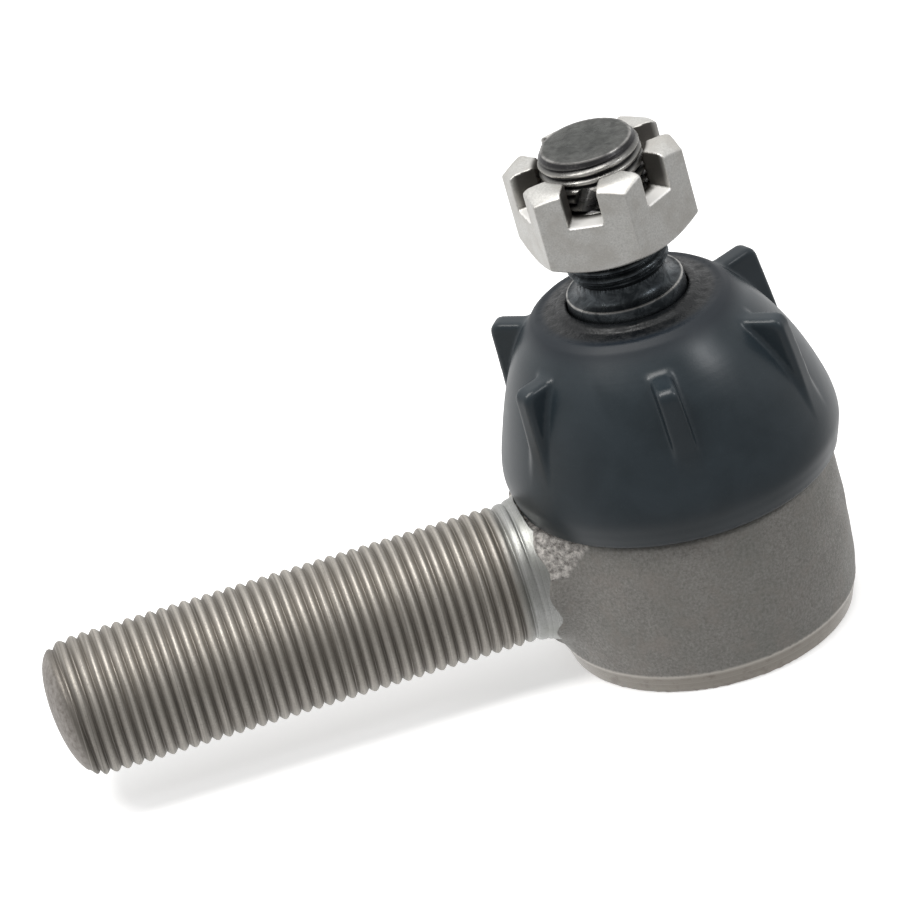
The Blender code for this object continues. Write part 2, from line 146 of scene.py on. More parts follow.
# Nut
NUT_ACROSS_FLATS = 24.4 * MM
NUT_BOTTOM = 50.6 * MM
NUT_HEIGHT = 13.7 * MM
NUT_TURN = math.radians(-23.2)
SLOT_WIDTH = 5.5 * MM
SLOT_DEPTH = 5.8 * MM
NUT_EDGE = 0.3 * MM
CHAMFER_SLOPE = math.radians(30)
CHAMFER_CIRCLE = 0.955  # diameter of the end faces as a share of the width across flats

# Boot. Outer and inner curves are (radius, height) in mm
BOOT_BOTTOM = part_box("dust_boot")[0].z
BOOT_TOP = 58.5 * MM
HOLE_RADIUS = 9.5 * MM
DOME = [
    (25.45, 28.3), (26.0, 30.2), (26.38, 32.8), (25.6, 37.0),
    (23.1, 44.5), (19.8, 51.0), (15.6, 56.6),
]
INSIDE = [(12.4, 53.6), (17.4, 49.2), (20.4, 43.6), (22.6, 36.4)]
RIM_INSIDE = 23.2 * MM
RIM_HEIGHT = 31.5 * MM
BEAD_RADIUS = 22.0 * MM
BEAD_HEIGHT = 33.2 * MM
LAND_RADIUS = 14.3 * MM
FIN_TURN = math.radians(-94)
FIN_RADIUS = 24.0 * MM
FIN_SPREAD = 1.4 * MM
FIN_TOP = 53.9 * MM
FIN_TILT = math.radians(3.3)
FIN_HIGH_SIDE = math.radians(54)
FIN_WIDTH = 3.3 * MM
FIN_FOOT = 34 * MM
FIN_INNER_RADIUS = 15 * MM
GREASE_HEIGHT = 53 * MM
CROWN_HEIGHT = 54 * MM
LEAN_START = 34.0 * MM
LEAN_FULL = 58.0 * MM

# Closure plate's pressed ring, as (radius, height) in mm
PLATE_RING = [(9.8, 0.0), (10.2, 0.45), (12.2, 0.45), (12.6, 0.0)]

# Mesh fineness. The margin is in cells round a distance field, an odd share so that no
# flat face lies on grid points
GRID_MARGIN = 2.37
BODY_GRID = 0.42 * MM
NUT_GRID = 0.2 * MM
SHANK_COLUMNS = 144
STUD_COLUMNS = 96
ROWS_PER_PITCH = 14
LATHE_FACETS = 128
HOLE_FACETS = 32

# Surroundings: brighter behind the part, a little light from below, and one dim direction
WORLD_FRONT = 0.30
WORLD_BACK = 0.9
WORLD_BELOW = 0.30
DIM_DIRECTION = (0.867, -0.153, -0.47)
DIM_SHARE = 0.62
FLOOR_GLOW = 0.45


# ---------------------------------------------------------------- mesh tools

def smooth_step(value):
    """0 below 0, 1 above 1 and a smooth rise between."""
    value = np.clip(value, 0.0, 1.0)
    return value * value * (3 - 2 * value)


def smooth_min(a, b, width):
    """Union of two distance fields with a fillet of about this width."""
    share = np.clip(0.5 + 0.5 * (b - a) / width, 0.0, 1.0)
    return b * (1 - share) + a * share - width * share * (1 - share)


def smooth_max(a, b, width):
    """Intersection of two distance fields with a rounded edge."""
    return -smooth_min(-a, -b, width)


def outline_distance(radius, height, outline):
    """Signed distance to a closed (radius, height) outline, negative inside."""
    best = np.full(radius.shape, np.inf)
    inside = np.zeros(radius.shape, bool)
    for (r0, z0), (r1, z1) in zip(outline, outline[1:] + outline[:1]):
        dr, dz = r1 - r0, z1 - z0
        length = dr * dr + dz * dz
        if length == 0:
            continue
        t = np.clip(((radius - r0) * dr + (height - z0) * dz) / length, 0, 1)
        best = np.minimum(best, (radius - r0 - t * dr) ** 2 + (height - z0 - t * dz) ** 2)
        if dz:
            crosses = (z0 > height) != (z1 > height)
            inside ^= crosses & (radius < r0 + (height - z0) * dr / dz)
    return np.where(inside, -1, 1) * np.sqrt(best)


def curve_through(points, steps):
    """Catmull-Rom curve through (radius, height) points in mm, as points in metres."""
    knots = [np.array(p) * MM for p in points]
    knots = [2 * knots[0] - knots[1]] + knots + [2 * knots[-1] - knots[-2]]
    line = []
    for a, b, c, d in zip(knots, knots[1:], knots[2:], knots[3:]):
        for t in np.linspace(0, 1, steps, endpoint=False):
            point = b + 0.5 * t * (c - a + t * (2 * a - 5 * b + 4 * c - d + t * (3 * (b - c) + d - a)))
            line.append(tuple(point))
    return line + [tuple(knots[-2])]


def new_object(name, verts, faces, material, matrix=None):
    """Make an object from arrays, smooth shaded."""
    mesh = bpy.data.meshes.new(name)
    mesh.from_pydata(np.asarray(verts).tolist(), [], faces)
    mesh.validate()
    mesh.shade_smooth()
    mesh.materials.append(material)
    item = bpy.data.objects.new(name, mesh)
    bpy.context.scene.collection.objects.link(item)
    if matrix is not None:
        item.matrix_world = matrix
    return item


def bake_place(item):
    """Write a piece's placement into its mesh."""
    item.data.transform(item.matrix_world)
    item.matrix_world = Matrix.Identity(4)


def add_attribute(item, name, values):
    """Store one number per point, for a material to read."""
    attribute = item.data.attributes.new(name, "FLOAT", "POINT")
    attribute.data.foreach_set("value", np.asarray(values, np.float32))


def gradient(field, points, step):
    """Gradient of a field by central differences."""
    columns = []
    for axis in range(3):
        shift = np.zeros(3)
        shift[axis] = step
        columns.append((field(points + shift) - field(points - shift)) / (2 * step))
    return np.stack(columns, 1)


def skin(field, low, high, step):
    """Quads on the zero surface of a distance field, by naive surface nets."""
    axes = []
    for start, end in zip(low, high):
        axes.append(np.arange(start - GRID_MARGIN * step, end + (GRID_MARGIN + 1) * step, step))
    slabs = []
    for x in axes[0]:
        y, z = np.meshgrid(axes[1], axes[2], indexing="ij")
        slab = np.stack([np.full(y.size, x), y.ravel(), z.ravel()], 1)
        slabs.append(field(slab).reshape(y.shape))
    values = np.stack(slabs)
    cells = np.array(values.shape) - 1
    origin = np.array([a[0] for a in axes])
    total = np.zeros((cells.prod(), 3))
    count = np.zeros(cells.prod())
    quads = []
    for axis in range(3):
        before = np.take(values, range(values.shape[axis] - 1), axis)
        after = np.take(values, range(1, values.shape[axis]), axis)
        index = np.argwhere((before < 0) != (after < 0))
        a = before[tuple(index.T)]
        b = after[tuple(index.T)]
        point = index.astype(float)
        point[:, axis] += a / (a - b)
        other = [(axis + 1) % 3, (axis + 2) % 3]
        ring = []
        for step_b, step_c in ((0, 0), (1, 0), (1, 1), (0, 1)):
            cell = index.copy()
            cell[:, other[0]] -= step_b
            cell[:, other[1]] -= step_c
            flat = np.ravel_multi_index(tuple(cell.T), cells)
            for i in range(3):
                total[:, i] += np.bincount(flat, point[:, i], minlength=len(count))
            count += np.bincount(flat, minlength=len(count))
            ring.append(flat)
        quad = np.stack(ring, 1)
        quad[a > 0] = quad[a > 0][:, ::-1]
        quads.append(quad)
    used = count > 0
    number = np.cumsum(used) - 1
    verts = origin + total[used] / count[used][:, None] * step
    faces = number[np.concatenate(quads)]
    for _ in range(4):  # pull the points onto the surface
        slope = gradient(field, verts, step / 8)
        move = field(verts)[:, None] * slope / np.maximum((slope**2).sum(1), 0.25)[:, None]
        verts -= np.clip(move, -step / 2, step / 2)
    return verts, faces.tolist()


def turn_outline(outline, facets):
    """Spin an open (radius, height) outline, from the axis and back to it, about Z."""
    angles = np.linspace(0, math.tau, facets, endpoint=False)
    verts = []
    rings = []
    for r, z in outline:
        if r < 1e-9:
            rings.append([len(verts)] * facets)
            verts.append((0.0, 0.0, z))
        else:
            rings.append(list(range(len(verts), len(verts) + facets)))
            verts += [(r * math.cos(a), r * math.sin(a), z) for a in angles]
    faces = []
    for low, high in zip(rings, rings[1:]):
        for i in range(facets):
            j = (i + 1) % facets
            corners = list(dict.fromkeys([low[i], low[j], high[j], high[i]]))
            if len(corners) > 2:
                faces.append(corners)
    return np.array(verts), faces


def rounded(outline, radius):
    """Round every corner of a (radius, height) outline except those on the axis."""
    result = []
    size = len(outline)
    for i, point in enumerate(outline):
        here = Vector(point)
        back = Vector(outline[i - 1]) - here
        ahead = Vector(outline[(i + 1) % size]) - here
        reach = min(radius, 0.45 * back.length, 0.45 * ahead.length)
        if here.x < 1e-9:
            result.append(tuple(here))
            continue
        start = here + back.normalized() * reach
        end = here + ahead.normalized() * reach
        for t in (0, 0.25, 0.5, 0.75, 1):
            result.append(tuple(start.lerp(here, t).lerp(here.lerp(end, t), t)))
    return result


def groove(phase):
    """Thread form, from 0 on the rounded crest to 1 in the V of the root at phase 0."""
    return 1 - np.abs(np.sin(math.pi * phase))


def thread_surface(length, pitch, radius_at, columns, rows_per_pitch):
    """A closed bar along +Z with a helical surface. radius_at(height, phase) gives its radius."""
    rows = rows_per_pitch * (math.ceil(length / pitch) + 1)
    turn = np.arange(columns + 1) / columns
    row = np.arange(-rows_per_pitch, rows + 1) / rows_per_pitch
    height = np.clip((row[:, None] + turn[None, :]) * pitch, 0, length)
    phase = height / pitch - turn[None, :]
    radius = radius_at(height, phase)
    angle = math.tau * turn[None, :]
    grid = np.stack([radius * np.cos(angle), radius * np.sin(angle), height], -1)
    flat = grid.reshape(-1, 3)
    keys = np.round(flat * 1e8).astype(np.int64)  # points that meet become one
    _, first, number = np.unique(keys, axis=0, return_index=True, return_inverse=True)
    number = number.reshape(height.shape)
    verts = flat[first]
    quads = np.stack(
        [number[:-1, :-1], number[:-1, 1:], number[1:, 1:], number[1:, :-1]], -1
    ).reshape(-1, 4)
    faces = []
    for quad in quads.tolist():
        corners = list(dict.fromkeys(quad))
        if len(corners) > 2:
            faces.append(corners)
    for end, level in ((0, 0.0), (1, length)):
        rim = number[0, :-1] if end == 0 else number[-1, :-1]
        rim = list(dict.fromkeys(rim.tolist()))
        for share in (0.94, 0.5):  # rings that close the flat end
            ring = list(range(len(verts), len(verts) + len(rim)))
            inner = verts[rim] * np.array([share, share, 1.0])
            verts = np.vstack([verts, inner])
            for i in range(len(rim)):
                j = (i + 1) % len(rim)
                band = [rim[j], rim[i], ring[i], ring[j]]
                faces.append(band if end == 0 else band[::-1])
            rim = ring
            verts[rim, 2] = level
        hub = len(verts)
        verts = np.vstack([verts, [[0.0, 0.0, level]]])
        for i in range(len(rim)):
            fan = [rim[(i + 1) % len(rim)], rim[i], hub]
            faces.append(fan if end == 0 else fan[::-1])
    return verts, faces


# ---------------------------------------------------------------- material tools

def add_node(tree, kind, inputs=None, **settings):
    """Add a node, set its options and its inputs. An input is a value or another node's socket."""
    node = tree.nodes.new(kind)
    for key, value in settings.items():
        setattr(node, key, value)
    for key, value in (inputs or {}).items():
        if isinstance(value, bpy.types.NodeSocket):
            tree.links.new(value, node.inputs[key])
        else:
            node.inputs[key].default_value = value
    return node


def new_material(name, **sockets):
    """A Principled material with constant sockets set on the shader itself."""
    material = bpy.data.materials.new(name)
    material.use_nodes = True
    tree = material.node_tree
    shader = tree.nodes["Principled BSDF"]
    for key, value in sockets.items():
        shader.inputs[key.replace("_", " ")].default_value = value
    return material, tree, shader


def noise(tree, coords, size, detail=3.0, roughness=0.55, distortion=0.0):
    """Noise whose features are about this many metres across."""
    inputs = {"Vector": coords, "Scale": 1 / size, "Detail": detail}
    inputs |= {"Roughness": roughness, "Distortion": distortion}
    return add_node(tree, "ShaderNodeTexNoise", inputs).outputs["Fac"]


def ramp(tree, value, low, high, out_low=0.0, out_high=1.0):
    """Map a value's range to another, clamped."""
    inputs = {"Value": value, "From Min": low, "From Max": high, "To Min": out_low, "To Max": out_high}
    return add_node(tree, "ShaderNodeMapRange", inputs).outputs["Result"]


def mix(tree, share, a, b):
    """Mix two colours."""
    node = add_node(tree, "ShaderNodeMix", data_type="RGBA")
    for key, value in ((0, share), (6, a), (7, b)):
        if isinstance(value, bpy.types.NodeSocket):
            tree.links.new(value, node.inputs[key])
        elif key:
            node.inputs[key].default_value = (*value, 1.0)
        else:
            node.inputs[key].default_value = value
    return node.outputs[2]


def mix_values(tree, share, a, b):
    """Mix two numbers."""
    return add_node(tree, "ShaderNodeMix", {0: share, 2: a, 3: b}, data_type="FLOAT").outputs[0]


def plus(tree, a, b):
    """Sum of two numbers."""
    return add_node(tree, "ShaderNodeMath", {0: a, 1: b}, operation="ADD").outputs[0]


def times(tree, a, b):
    """Product of two numbers."""
    return add_node(tree, "ShaderNodeMath", {0: a, 1: b}, operation="MULTIPLY").outputs[0]


def bump(tree, height, distance, strength, normal=None):
    """Bump from a height in 0..1."""
    inputs = {"Height": height, "Distance": distance, "Strength": strength}
    if normal is not None:
        inputs["Normal"] = normal
    return add_node(tree, "ShaderNodeBump", inputs).outputs["Normal"]


def object_coords(tree):
    """The piece's own coordinates, in metres."""
    return add_node(tree, "ShaderNodeTexCoord").outputs["Object"]


def height_coords(tree, coords):
    """Z as a number, and as a vector for lines that run round a piece."""
    height = add_node(tree, "ShaderNodeSeparateXYZ", {0: coords}).outputs["Z"]
    return height, add_node(tree, "ShaderNodeCombineXYZ", {"Z": height}).outputs[0]


def attribute(tree, name):
    """A number stored on the piece's points."""
    return add_node(tree, "ShaderNodeAttribute", attribute_name=name).outputs["Fac"]


def connect(tree, shader, colour, rough, normal):
    """Link a material's colour, roughness and bump to its shader."""
    tree.links.new(colour, shader.inputs["Base Color"])
    tree.links.new(rough, shader.inputs["Roughness"])
    tree.links.new(normal, shader.inputs["Normal"])


# ---------------------------------------------------------------- materials

def forged_material():
    """Blasted forging with a machined band, a painted highlight along the band's top edge, and a coarse patch in
    the fillet.
    """
    material, tree, shader = new_material("forged_steel", Metallic=0.45)
    coords = object_coords(tree)
    grain = noise(tree, coords, 0.45 * MM, 5.0, 0.75)
    fleck = noise(tree, coords, 0.22 * MM, 2.0, 0.6)
    cloud = noise(tree, coords, 8 * MM, 4.0, 0.6)
    tint = noise(tree, coords, 4.0 * MM, 3.0, 0.6)
    colour = mix(tree, ramp(tree, grain, 0.32, 0.68), (0.205, 0.196, 0.182), (0.365, 0.352, 0.330))
    colour = mix(tree, ramp(tree, fleck, 0.62, 0.80, 0, 0.5), colour, (0.54, 0.515, 0.485))
    colour = mix(tree, ramp(tree, fleck, 0.38, 0.24, 0, 0.5), colour, (0.125, 0.118, 0.107))
    colour = mix(tree, ramp(tree, cloud, 0.40, 0.62, 0.0, 0.40), colour, (0.215, 0.220, 0.200))
    colour = mix(tree, ramp(tree, tint, 0.50, 0.72, 0.0, 0.35), colour, (0.36, 0.310, 0.280))
    normal = bump(tree, plus(tree, grain, times(tree, fleck, 0.5)), 0.10 * MM, 0.75)

    patch = attribute(tree, "patch")
    lumps = noise(tree, coords, 0.95 * MM, 6.0, 0.75)
    ragged = ramp(tree, plus(tree, patch, times(tree, cloud, 0.8)), 0.70, 0.95)
    patch_colour = mix(tree, ramp(tree, lumps, 0.38, 0.64), (0.16, 0.148, 0.138), (0.86, 0.82, 0.78))
    colour = mix(tree, times(tree, ragged, 0.85), colour, patch_colour)
    normal = bump(tree, times(tree, lumps, ragged), 0.40 * MM, 0.8, normal)

    band = attribute(tree, "machined")
    height, level = height_coords(tree, coords)
    lines = noise(tree, level, 0.22 * MM, 2.0, 0.7)
    # Darker wear patches on the band
    wear_and_highlight = noise(tree, coords, 2.2 * MM, 4.0, 0.65)
    band_colour = mix(tree, ramp(tree, lines, 0.3, 0.7), (0.25, 0.225, 0.195), (0.43, 0.395, 0.35))
    band_colour = mix(tree, ramp(tree, wear_and_highlight, 0.52, 0.72, 0, 0.6), band_colour, (0.19, 0.165, 0.14))
    # Painted highlight: a bright line just under the band's top edge
    edge = ramp(tree, height, BAND_HEIGHT - 0.6 * MM, BAND_HEIGHT - 0.2 * MM, 0, 0.8)
    band_colour = mix(tree, edge, band_colour, (0.62, 0.58, 0.53))
    colour = mix(tree, band, colour, band_colour)
    rough = ramp(tree, grain, 0.3, 0.7, 0.62, 0.48)
    rough_band = ramp(tree, lines, 0.3, 0.7, 0.30, 0.42)
    rough = mix_values(tree, band, rough, rough_band)
    normal = bump(tree, times(tree, lines, band), 0.03 * MM, 0.8, normal)
    connect(tree, shader, colour, rough, normal)
    return material


def thread_material():
    """Bare rolled thread and the turned collar next to it, with painted shade in the thread's roots and crests
    brightened partly by wear and partly as a painted highlight.
    """
    material, tree, shader = new_material("thread_steel", Metallic=0.9)
    coords = object_coords(tree)
    depth = attribute(tree, "depth")
    collar = attribute(tree, "collar")
    grain = noise(tree, coords, 0.30 * MM, 4.0, 0.7)
    cloud = noise(tree, coords, 6 * MM, 4.0, 0.6)
    _, level = height_coords(tree, coords)
    lines = noise(tree, level, 0.16 * MM, 2.0, 0.7)
    # Painted shade: darker towards the thread's roots
    colour = mix(tree, ramp(tree, depth, 0.10, 0.75), (0.215, 0.198, 0.178), (0.42, 0.395, 0.358))
    # Brighter crests, partly wear and partly a painted highlight
    colour = mix(tree, ramp(tree, depth, 0.90, 1.0, 0, 0.8), colour, (0.60, 0.565, 0.515))
    colour = mix(tree, ramp(tree, cloud, 0.40, 0.70, 0, 0.5), colour, (0.31, 0.285, 0.25))
    colour = mix(tree, ramp(tree, grain, 0.52, 0.72, 0, 0.5), colour, (0.20, 0.185, 0.165))
    marks = noise(tree, level, 0.42 * MM, 2.0, 0.6)
    colour = mix(tree, ramp(tree, marks, 0.52, 0.66, 0, 0.6), colour, (0.13, 0.120, 0.108))
    colour = mix(tree, ramp(tree, marks, 0.46, 0.34, 0, 0.5), colour, (0.60, 0.565, 0.515))
    turned = mix(tree, ramp(tree, lines, 0.3, 0.7), (0.34, 0.345, 0.335), (0.56, 0.56, 0.545))
    turned = mix(tree, ramp(tree, cloud, 0.42, 0.66, 0, 0.55), turned, (0.30, 0.310, 0.280))
    turned = mix(tree, ramp(tree, grain, 0.52, 0.68, 0, 0.45), turned, (0.24, 0.235, 0.220))
    colour = mix(tree, collar, colour, turned)
    chips = noise(tree, coords, 0.9 * MM, 5.0, 0.7)
    tip_colour = mix(tree, ramp(tree, chips, 0.36, 0.64), (0.24, 0.215, 0.195), (0.46, 0.430, 0.405))
    colour = mix(tree, attribute(tree, "tip"), colour, tip_colour)
    rough = ramp(tree, grain, 0.3, 0.7, 0.48, 0.60)
    smooth = ramp(tree, grain, 0.3, 0.7, 0.36, 0.48)
    rough = mix_values(tree, collar, rough, smooth)
    height = plus(tree, times(tree, lines, 0.6), grain)
    connect(tree, shader, colour, rough, bump(tree, height, 0.05 * MM, 0.7))
    return material


def stud_material():
    """Dark, greasy stud with painted shade in its thread roots and pin hole, crests brightened partly by wear and
    partly as a painted highlight, and a painted highlight on its shoulder edge and tip rim.
    """
    material, tree, shader = new_material("stud_steel", Metallic=0.85)
    coords = object_coords(tree)
    depth = attribute(tree, "depth")
    edge_highlight = attribute(tree, "edge_highlight")
    grain = noise(tree, coords, 0.35 * MM, 4.0, 0.7)
    smear = noise(tree, coords, 2.6 * MM, 4.0, 0.65, 0.8)
    grease_and_hole_shade = attribute(tree, "grease_and_hole_shade")
    # Painted shade: darker towards the thread's roots
    colour = mix(tree, ramp(tree, depth, 0.25, 0.95), (0.045, 0.044, 0.046), (0.30, 0.295, 0.28))
    # Brighter crests, partly wear and partly a painted highlight
    colour = mix(tree, ramp(tree, depth, 0.85, 1.0, 0, 0.7), colour, (0.62, 0.60, 0.56))
    colour = mix(tree, ramp(tree, grain, 0.58, 0.72, 0, 0.4), colour, (0.22, 0.215, 0.20))
    dark = mix(tree, ramp(tree, smear, 0.42, 0.62), (0.032, 0.038, 0.043), (0.105, 0.118, 0.128))
    # Grease below the nut, and painted shade in the pin hole
    colour = mix(tree, grease_and_hole_shade, colour, dark)
    tip = attribute(tree, "tip")
    blotch = noise(tree, coords, 1.7 * MM, 3.0, 0.6, 0.5)
    stain = mix(tree, ramp(tree, blotch, 0.36, 0.64), (0.045, 0.047, 0.044), (0.100, 0.104, 0.097))
    colour = mix(tree, tip, colour, stain)
    # Painted highlight on the shoulder edge and tip rim, broken up by the smear
    wear_and_highlight = times(tree, edge_highlight, ramp(tree, smear, 0.36, 0.58, 0.35, 1.0))
    colour = mix(tree, wear_and_highlight, colour, (0.60, 0.585, 0.56))
    rough = ramp(tree, smear, 0.35, 0.65, 0.42, 0.22)
    height = plus(tree, grain, times(tree, smear, 1.5))
    height = plus(tree, height, times(tree, times(tree, blotch, tip), 2.0))
    connect(tree, shader, colour, rough, bump(tree, height, 0.06 * MM, 0.5))
    return material


def nut_material():
    """Satin plated steel with fine grain, painted shade on the slot walls and in the bore, and a painted highlight
    on the slot floors.
    """
    material, tree, shader = new_material("nut_steel", Metallic=0.88)
    coords = object_coords(tree)
    grain = noise(tree, coords, 0.28 * MM, 4.0, 0.7)
    cloud = noise(tree, coords, 4.5 * MM, 4.0, 0.6)
    inner = attribute(tree, "inner")
    colour = mix(tree, ramp(tree, grain, 0.3, 0.7), (0.54, 0.535, 0.51), (0.78, 0.77, 0.745))
    colour = mix(tree, ramp(tree, cloud, 0.42, 0.66, 0, 0.5), colour, (0.50, 0.475, 0.435))
    floor = attribute(tree, "slot_floor")
    # Painted shade in the bore and on the slot walls
    colour = mix(tree, inner, colour, (0.050, 0.044, 0.038))
    # Painted highlight: the slot floors are bright and less metallic
    colour = mix(tree, floor, colour, (0.90, 0.89, 0.87))
    tree.links.new(ramp(tree, floor, 0.0, 1.0, 0.88, 0.25), shader.inputs["Metallic"])
    rough = ramp(tree, grain, 0.3, 0.7, 0.42, 0.56)
    connect(tree, shader, colour, rough, bump(tree, grain, 0.04 * MM, 0.7))
    return material


def rubber_material():
    """Satin moulded rubber, darker and duller on its crown and greasy round its mouth."""
    material, tree, shader = new_material("boot_rubber", Specular_IOR_Level=0.5)
    coords = object_coords(tree)
    grease = attribute(tree, "grease")
    crown = attribute(tree, "crown")
    grain = noise(tree, coords, 0.30 * MM, 3.0, 0.6)
    cloud = noise(tree, coords, 9 * MM, 4.0, 0.6, 0.4)
    smear = noise(tree, coords, 1.8 * MM, 4.0, 0.7)
    colour = mix(tree, ramp(tree, cloud, 0.3, 0.7), (0.0145, 0.0225, 0.0285), (0.0225, 0.0325, 0.0405))
    colour = mix(tree, ramp(tree, grain, 0.6, 0.8, 0, 0.25), colour, (0.06, 0.068, 0.074))
    colour = mix(tree, crown, colour, (0.006, 0.0115, 0.0185))
    colour = mix(tree, grease, colour, (0.005, 0.0062, 0.0076))
    rough = ramp(tree, cloud, 0.3, 0.7, 0.30, 0.38)
    rough = plus(tree, rough, times(tree, crown, 0.2))
    rough = mix_values(tree, grease, rough, ramp(tree, smear, 0.4, 0.65, 0.30, 0.60))
    normal = bump(tree, grain, 0.02 * MM, 0.35)
    normal = bump(tree, times(tree, smear, grease), 0.25 * MM, 0.8, normal)
    connect(tree, shader, colour, rough, normal)
    return material


def plain_metal(name, low, high, rough_low, rough_high, size):
    """Turned or pressed metal with grain, for the pieces inside and underneath."""
    material, tree, shader = new_material(name, Metallic=0.9)
    coords = object_coords(tree)
    grain = noise(tree, coords, size, 4.0, 0.7)
    cloud = noise(tree, coords, 12 * size, 3.0, 0.6)
    colour = mix(tree, ramp(tree, grain, 0.3, 0.7), low, high)
    colour = mix(tree, ramp(tree, cloud, 0.45, 0.7, 0, 0.4), colour, low)
    rough = ramp(tree, grain, 0.3, 0.7, rough_low, rough_high)
    connect(tree, shader, colour, rough, bump(tree, grain, 0.03 * MM, 0.5))
    return material


def seal_material():
    """Matt black rubber."""
    material, tree, shader = new_material("seal_rubber")
    grain = noise(tree, object_coords(tree), 0.3 * MM, 3.0, 0.6)
    colour = mix(tree, grain, (0.012, 0.012, 0.012), (0.03, 0.03, 0.03))
    rough = ramp(tree, grain, 0.3, 0.7, 0.5, 0.7)
    connect(tree, shader, colour, rough, bump(tree, grain, 0.03 * MM, 0.4))
    return material


# ---------------------------------------------------------------- pieces

def shank_distance(points):
    """Distance from the shank's axis."""
    return np.hypot(points[:, 1], points[:, 2] - SHANK_TIP.z)


def collar_radius(out):
    """Radius of the turned collar at a distance from the socket's axis."""
    radius, place = np.array(COLLAR).T * MM
    return np.interp(out, place, radius)


def waves(points):
    """Slow bumps, a few tenths of a millimetre, of a hand-dressed forging."""
    x, y, z = points.T / MM
    return (np.sin(0.9 * y + 0.5 * z + 1.1) + np.sin(0.7 * z - 0.6 * y + 0.35 * x)) * 0.5


def forging_field(points):
    """Distance field of the forging: barrel, neck and the fillet that holds the shank."""
    radius = np.hypot(points[:, 0], points[:, 1])
    height = points[:, 2]
    side = curve_through(
        [
            (BAND_RADIUS / MM + 0.06, BAND_HEIGHT / MM),
            (BARREL_RADIUS / MM - 0.1, 9.0),
            (BARREL_RADIUS / MM, BARREL_HEIGHT / MM),
            (BARREL_RADIUS / MM - 0.08, 21.0),
            (SHOULDER_RADIUS / MM, 26.5),
        ],
        5,
    )
    solid = [(0.0, 0.0), (BASE_RADIUS, 0.0), (BAND_RADIUS, BAND_HEIGHT)] + side
    solid += [
        (SHOULDER_RADIUS - 0.7 * MM, SHOULDER_HEIGHT),
        (NECK_RADIUS, SHOULDER_HEIGHT),
        (NECK_RADIUS, NECK_HEIGHT),
        (0.0, NECK_HEIGHT),
    ]
    barrel = outline_distance(radius, height, solid)
    out = -points[:, 0]
    across = shank_distance(points)
    stem = np.maximum(across - STEM_RADIUS, np.maximum(out - STEM_END, -out))
    around = np.arctan2(height - SHANK_TIP.z, -points[:, 1])
    body = smooth_min(barrel, stem, (FILLET_SIZE + FILLET_SWELL * np.sin(around)) * MM)
    rough = WAVE_DEPTH * waves(points) * smooth_step((height - BAND_HEIGHT) / (2 * MM))
    body = body + rough * smooth_step((SHOULDER_HEIGHT - height) / (3 * MM))

    border = BORDER + BORDER_WAVE * np.sin(BORDER_WAVES * around + 1.26)
    border = border - BORDER_SLANT * (1 + np.cos(around + 1.0))
    turned = np.minimum(across - collar_radius(out) + 0.25 * MM, out - border)
    body = smooth_max(body, turned, 0.3 * MM)

    room = np.maximum(SHOULDER_HEIGHT - height, radius - ROOM_RADIUS)
    room = np.maximum(room, NECK_RADIUS - radius)
    body = np.maximum(body, -room)
    cavity = [
        (0.0, -MM),
        (LIP_RADIUS, -MM),
        (LIP_RADIUS, LIP_THICKNESS),
        (RECESS_RADIUS, LIP_THICKNESS),
        (RECESS_RADIUS, RECESS_HEIGHT),
        (BORE_RADIUS, RECESS_HEIGHT),
        (BORE_RADIUS, CEILING_HEIGHT),
        (THROAT_RADIUS, CEILING_HEIGHT),
        (MOUTH_RADIUS, NECK_HEIGHT + MM),
        (0.0, NECK_HEIGHT + MM),
    ]
    return np.maximum(body, -outline_distance(radius, height, cavity))


def make_forging(material):
    """Socket body, up to where the turned shank leaves it."""
    reach = BARREL_RADIUS + MM
    low = (-STEM_END, -reach, 0.0)
    high = (reach, reach, NECK_HEIGHT)
    verts, faces = skin(forging_field, low, high, BODY_GRID)
    verts[:, 2] = np.clip(verts[:, 2], 0.0, NECK_HEIGHT)
    item = new_object("socket_forging", verts, faces, material)
    radius = np.hypot(verts[:, 0], verts[:, 1])
    machined = smooth_step((BAND_HEIGHT - verts[:, 2]) / (0.25 * MM) + 0.5)
    above = verts[:, 2] - SHANK_TIP.z + PATCH_LOWER_SLOPE * verts[:, 1]
    beside = verts[:, 2] - PATCH_SIDE_Z - PATCH_SIDE_SLOPE * (verts[:, 0] - PATCH_SIDE_X)
    beside = beside / PATCH_SIDE_LENGTH
    patch = smooth_step(np.minimum(above, beside) / PATCH_SOFTNESS + 0.45)
    patch = patch * (radius < BORDER + 5 * MM) * (verts[:, 0] < -16 * MM)
    add_attribute(item, "machined", machined)
    add_attribute(item, "patch", patch)
    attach(item, "socket")
    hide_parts("socket_housing")


